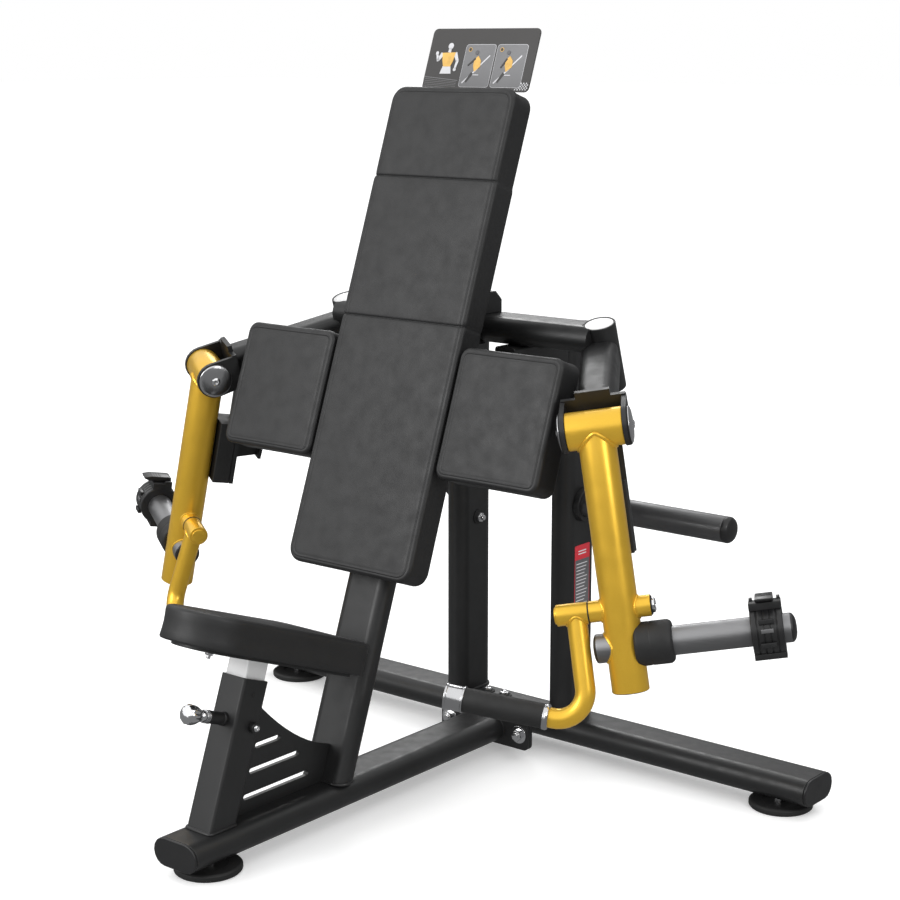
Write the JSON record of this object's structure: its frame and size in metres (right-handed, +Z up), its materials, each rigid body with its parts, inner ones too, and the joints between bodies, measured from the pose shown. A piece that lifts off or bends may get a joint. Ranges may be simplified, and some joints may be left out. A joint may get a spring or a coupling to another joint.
{
  "type": "plate-loaded row machine",
  "caption": "Plate-loaded lever row machine: raked chest pad with elbow pads, tilted seat on a slide, two swinging levers with swivel handles and weight sleeves, T-shaped base.",
  "frame": {"origin": "on the floor at the centre of the bounding box", "axes": "+X to the right of someone on the seat, who faces +Y; +Z up; the machine mirrors about X = 0"},
  "size_m": [1.5906, 1.018, 1.424],
  "materials": {
    "black_frame": "satin textured powder coat",
    "gold_coat": "metallic gold coat",
    "vinyl": "fine-grained black vinyl",
    "steel": "satin",
    "chrome": "polished",
    "alloy": "bright",
    "rubber": "matt",
    "plastic": "satin",
    "sign": "printed sheet"
  },
  "bodies": {
    "frame": {"base_beam": "black_frame", "base_end_cap": "plastic", "cross_beam": "black_frame", "top_cross_tube": "black_frame", "pad_post": "black_frame", "pad_carrier": "black_frame", "main_pad": "vinyl", "placard": "sign", "post_head_bracket": "black_frame", "seat_post": "black_frame", "gusset_plate": "black_frame", "pin_barrel": "plastic", "foot_front": "rubber", "cross_end_cap_left": "plastic", "foot_left": "rubber", "column_left": "black_frame", "head_arm_left": "black_frame", "stub_housing_left": "black_frame", "stub_cap_left": "alloy", "elbow_pad_left": "vinyl", "link_left": "black_frame", "pivot_pin_left": "steel", "pivot_cover_left": "steel", "stop_block_left": "rubber", "storage_peg_left": "steel", "cross_end_cap_right": "plastic", "foot_right": "rubber", "column_right": "black_frame", "head_arm_right": "black_frame", "stub_housing_right": "black_frame", "stub_cap_right": "alloy", "elbow_pad_right": "vinyl", "link_right": "black_frame", "pivot_pin_right": "steel", "pivot_cover_right": "steel", "stop_block_right": "rubber", "storage_peg_right": "steel"},
    "seat": {"seat_slider": "steel", "seat_plate": "black_frame", "seat_pad": "vinyl"},
    "pull_pin": {"pull_pin": "chrome"},
    "lever_right": {"lever_arm_right": "gold_coat", "weight_peg_right": "steel", "bumper_right": "rubber", "swivel_bolt_right": "chrome"},
    "handle_right": {"handle_right": "gold_coat", "grip_right": "plastic"},
    "collar_right": {"collar_right": "plastic"},
    "latch_right": {"collar_latch_right": "plastic"},
    "lever_left": {"lever_arm_left": "gold_coat", "weight_peg_left": "steel", "bumper_left": "rubber", "swivel_bolt_left": "chrome"},
    "handle_left": {"handle_left": "gold_coat", "grip_left": "plastic"},
    "collar_left": {"collar_left": "plastic"},
    "latch_left": {"collar_latch_left": "plastic"}
  },
  "joints": [
    {"name": "seat_slide", "type": "slide", "parent": "frame", "child": "seat", "axis": [0, 0.342, 0.9397], "range_m": [0, 0.1]},
    {"name": "pull_pin_slide", "type": "slide", "parent": "frame", "child": "pull_pin", "axis": [0, -0.9397, 0.342], "range_m": [0, 0.012], "stiffness_N_per_m": 600, "springref_m": -0.008},
    {"name": "lever_hinge_right", "type": "hinge", "parent": "frame", "child": "lever_right", "pos_m": [0.466, 0.044, 0.76], "axis": [-0.849, -0.5031, -0.1615], "range_deg": [0, 60]},
    {"name": "handle_swivel_right", "type": "hinge", "parent": "lever_right", "child": "handle_right", "pos_m": [0.52939, 0.03343, 0.4598], "axis": [-0.849, -0.5031, -0.1615], "range_deg": [-30, 35]},
    {"name": "collar_slide_right", "type": "slide", "parent": "lever_right", "child": "collar_right", "axis": [0.849, 0.5031, 0.1615], "range_m": [-0.13, 0]},
    {"name": "latch_hinge_right", "type": "hinge", "parent": "collar_right", "child": "latch_right", "pos_m": [0.72709, 0.17148, 0.48267], "axis": [-0.849, -0.5031, -0.1615], "range_deg": [0, 70]},
    {"name": "lever_hinge_left", "type": "hinge", "parent": "frame", "child": "lever_left", "pos_m": [-0.466, 0.044, 0.76], "axis": [-0.849, 0.5031, 0.1615], "range_deg": [0, 60]},
    {"name": "handle_swivel_left", "type": "hinge", "parent": "lever_left", "child": "handle_left", "pos_m": [-0.52939, 0.03343, 0.4598], "axis": [-0.849, 0.5031, 0.1615], "range_deg": [-30, 35]},
    {"name": "collar_slide_left", "type": "slide", "parent": "lever_left", "child": "collar_left", "axis": [-0.849, 0.5031, 0.1615], "range_m": [-0.13, 0]},
    {"name": "latch_hinge_left", "type": "hinge", "parent": "collar_left", "child": "latch_left", "pos_m": [-0.72709, 0.17148, 0.48267], "axis": [-0.849, 0.5031, 0.1615], "range_deg": [0, 70]}
  ]
}
